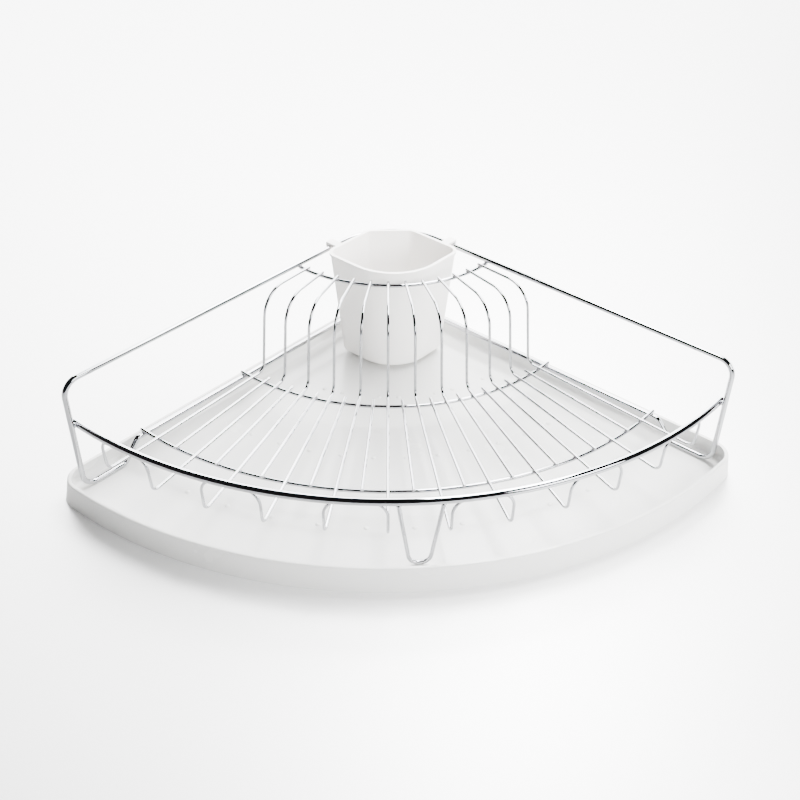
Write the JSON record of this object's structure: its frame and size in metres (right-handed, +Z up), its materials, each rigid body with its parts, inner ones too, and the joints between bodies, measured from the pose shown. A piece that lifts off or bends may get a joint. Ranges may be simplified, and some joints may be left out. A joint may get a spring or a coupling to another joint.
{
  "type": "dish drying rack",
  "caption": "Quarter-round corner dish rack: a chromed wire fan standing in a low plastic drip tray, with a cutlery cup hooked on at the back corner.",
  "frame": {"origin": "middle of the tray's footprint, at the height of the counter", "axes": "+Z up; the curved front faces -Y and the right-angled back corner points to +Y; +X to the right seen from the front"},
  "size_m": [0.5504, 0.3886, 0.115],
  "materials": {
    "chrome_wire": "gloss",
    "tray_plastic": "satin",
    "cup_plastic": "satin"
  },
  "bodies": {
    "tray": {"drip_tray": "tray_plastic"},
    "rack": {"main_frame": "chrome_wire", "front_rail": "chrome_wire", "outer_floor_arc": "chrome_wire", "inner_floor_arc": "chrome_wire", "upper_arc": "chrome_wire", "front_foot": "chrome_wire", "back_foot": "chrome_wire", "long_rib_pair_1": "chrome_wire", "long_rib_pair_2": "chrome_wire", "long_rib_pair_3": "chrome_wire", "long_rib_pair_4": "chrome_wire", "long_rib_pair_5": "chrome_wire", "long_rib_pair_6": "chrome_wire", "short_rib_1": "chrome_wire", "short_rib_2": "chrome_wire", "short_rib_3": "chrome_wire", "short_rib_4": "chrome_wire", "short_rib_5": "chrome_wire", "short_rib_6": "chrome_wire", "short_rib_7": "chrome_wire", "short_rib_8": "chrome_wire", "short_rib_9": "chrome_wire", "short_rib_10": "chrome_wire", "short_rib_11": "chrome_wire"},
    "cup": {"cutlery_cup": "cup_plastic"}
  },
  "joints": [
    {"name": "rack_lift", "type": "slide", "parent": "tray", "child": "rack", "axis": [0, 0, 1], "range_m": [0, 0.06]},
    {"name": "cup_lift", "type": "slide", "parent": "rack", "child": "cup", "axis": [0, 0, 1], "range_m": [0, 0.12]}
  ]
}
